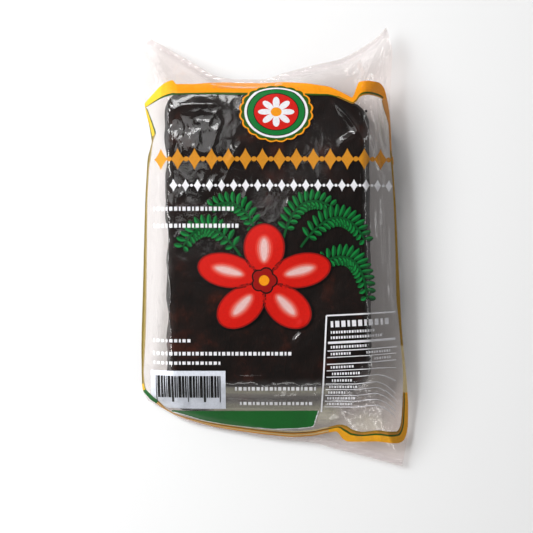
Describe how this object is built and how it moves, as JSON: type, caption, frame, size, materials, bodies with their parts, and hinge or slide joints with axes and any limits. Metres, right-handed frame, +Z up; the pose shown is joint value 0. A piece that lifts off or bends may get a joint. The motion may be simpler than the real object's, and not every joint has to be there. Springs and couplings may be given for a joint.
{
  "type": "packet of tamarind pulp",
  "caption": "Flat rectangular block of pressed dark tamarind pulp, heat-sealed in a clear printed film bag with stiff side folds and pointed corner ears, lying on its back.",
  "frame": {"origin": "on the surface that the packet lies on, under the middle of its bounding box", "axes": "+X towards the packet's right side seen from its printed front, +Y towards its top seal, +Z up out of its printed front"},
  "size_m": [0.1266, 0.2082, 0.0239],
  "materials": {
    "tamarind_pulp": "moist, sticky pressed fruit pulp, nearly black, with reddish brown fibres",
    "clear_film": "clear glossy packaging film, creased, printed on the front"
  },
  "bodies": {
    "root": {"tamarind_block": "tamarind_pulp", "bag_front_wall": "clear_film", "bag_back_wall": "clear_film"}
  },
  "joints": []
}
